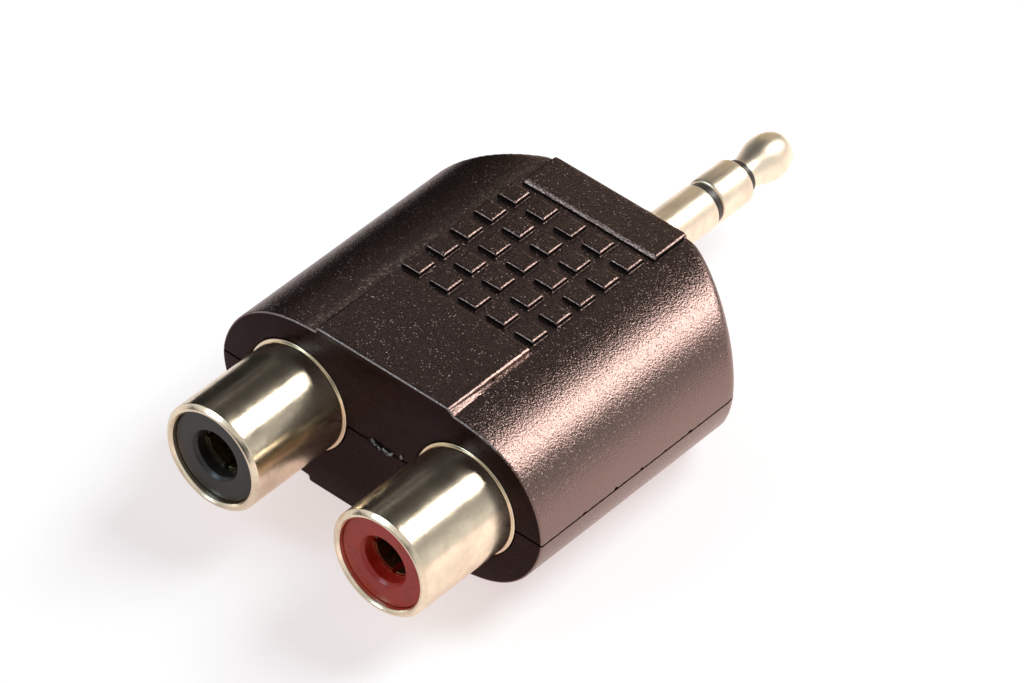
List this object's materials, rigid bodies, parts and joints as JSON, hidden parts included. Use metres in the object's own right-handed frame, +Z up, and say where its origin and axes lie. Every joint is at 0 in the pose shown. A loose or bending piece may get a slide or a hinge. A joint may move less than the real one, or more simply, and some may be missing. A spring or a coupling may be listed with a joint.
{
  "type": "rca to mini-jack adapter",
  "caption": "Moulded block adapter joining two phono line sockets to a 3.5 mm stereo plug, with grip pads on both faces.",
  "frame": {"origin": "centre of the grip square on the underside below the middle of the housing, where the adapter rests", "axes": "+Y from the socket face towards the plug, +X across the sockets to the red one, +Z up"},
  "size_m": [0.0284, 0.0517, 0.014],
  "materials": {
    "housing": "fine spark-eroded texture, satin",
    "nickel": "bright nickel plate",
    "insulator_black": "moulded",
    "insulator_red": "moulded",
    "contact": "spring brass",
    "tinned_brass": "tinned",
    "band": "moulded",
    "washer": "pressed laminate",
    "copper": "stranded core",
    "pvc_white": "extruded insulation",
    "pvc_red": "extruded insulation",
    "pvc_black": "extruded insulation",
    "solder": "dull solder"
  },
  "bodies": {
    "root": {"housing_top": "housing", "housing_bottom": "housing", "left_jack_barrel": "nickel", "left_jack_insulator": "insulator_black", "left_jack_contact": "contact", "left_jack_ground_tag": "tinned_brass", "right_jack_barrel": "nickel", "right_jack_insulator": "insulator_red", "right_jack_contact": "contact", "right_jack_ground_tag": "tinned_brass", "plug_tip": "nickel", "plug_tip_insulator": "band", "plug_ring": "nickel", "plug_ring_insulator": "band", "plug_sleeve": "nickel", "plug_sleeve_lug": "tinned_brass", "plug_ring_washer": "washer", "plug_ring_lug": "tinned_brass", "plug_tip_washer": "washer", "plug_tip_lug": "tinned_brass", "left_signal_core": "copper", "left_signal_insulation": "pvc_white", "right_signal_core": "copper", "right_signal_insulation": "pvc_red", "left_ground_core": "copper", "left_ground_insulation": "pvc_black", "right_ground_core": "copper", "right_ground_insulation": "pvc_black", "solder_joints": "solder"}
  },
  "joints": []
}
